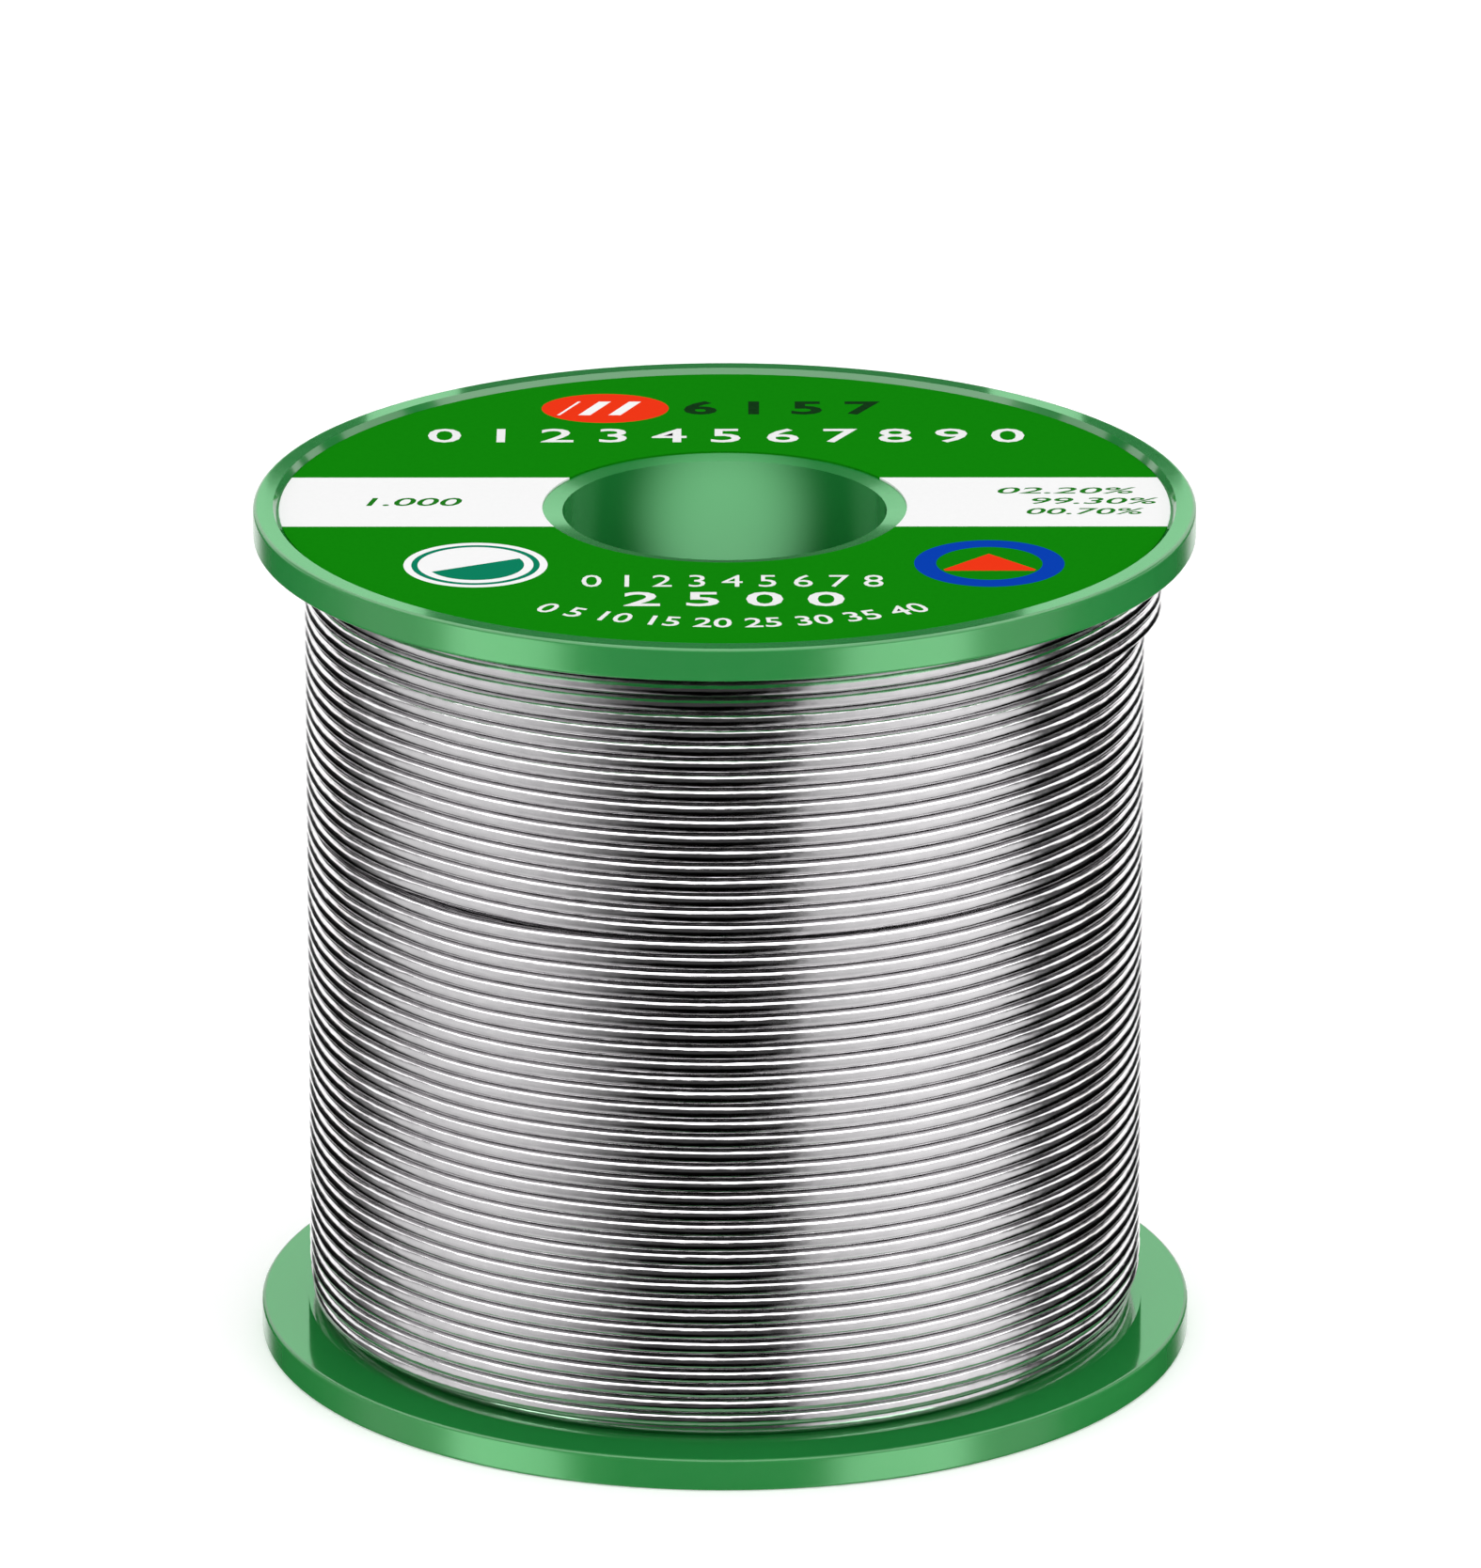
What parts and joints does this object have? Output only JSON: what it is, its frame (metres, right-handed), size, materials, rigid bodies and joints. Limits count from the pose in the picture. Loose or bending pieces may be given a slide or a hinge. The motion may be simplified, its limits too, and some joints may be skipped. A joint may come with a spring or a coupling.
{
  "type": "solder wire spool",
  "caption": "Full reel of bright flux-cored solder wire wound in layers on a green two-part moulded spool with raised rims, paper labels and a through bore.",
  "frame": {"origin": "centre of the lower rim, on the plane that the reel stands on", "axes": "+Z along the bore, from the lower flange to the upper; +X to the right and +Y to the back as the free end of the wire lies at the back"},
  "size_m": [0.061, 0.061, 0.0567],
  "materials": {
    "spool_plastic": "smooth moulded, satin gloss",
    "label_paper": "printed, coated",
    "solder_wire": "bright drawn tin alloy",
    "flux": "solid amber rosin"
  },
  "bodies": {
    "root": {"lower_spool_half": "spool_plastic", "upper_spool_half": "spool_plastic", "lower_label": "label_paper", "upper_label": "label_paper", "wire_layer_01": "solder_wire", "wire_layer_02": "solder_wire", "wire_layer_03": "solder_wire", "wire_layer_04": "solder_wire", "wire_layer_05": "solder_wire", "wire_layer_06": "solder_wire", "wire_layer_07": "solder_wire", "wire_layer_08": "solder_wire", "wire_layer_09": "solder_wire", "wire_layer_10": "solder_wire", "wire_layer_11": "solder_wire", "wire_layer_12": "solder_wire", "wire_layer_13": "solder_wire", "wire_layer_14": "solder_wire", "wire_layer_15": "solder_wire", "wire_start_tail": "solder_wire", "wire_free_end": "solder_wire", "flux_core": "flux"}
  },
  "joints": []
}
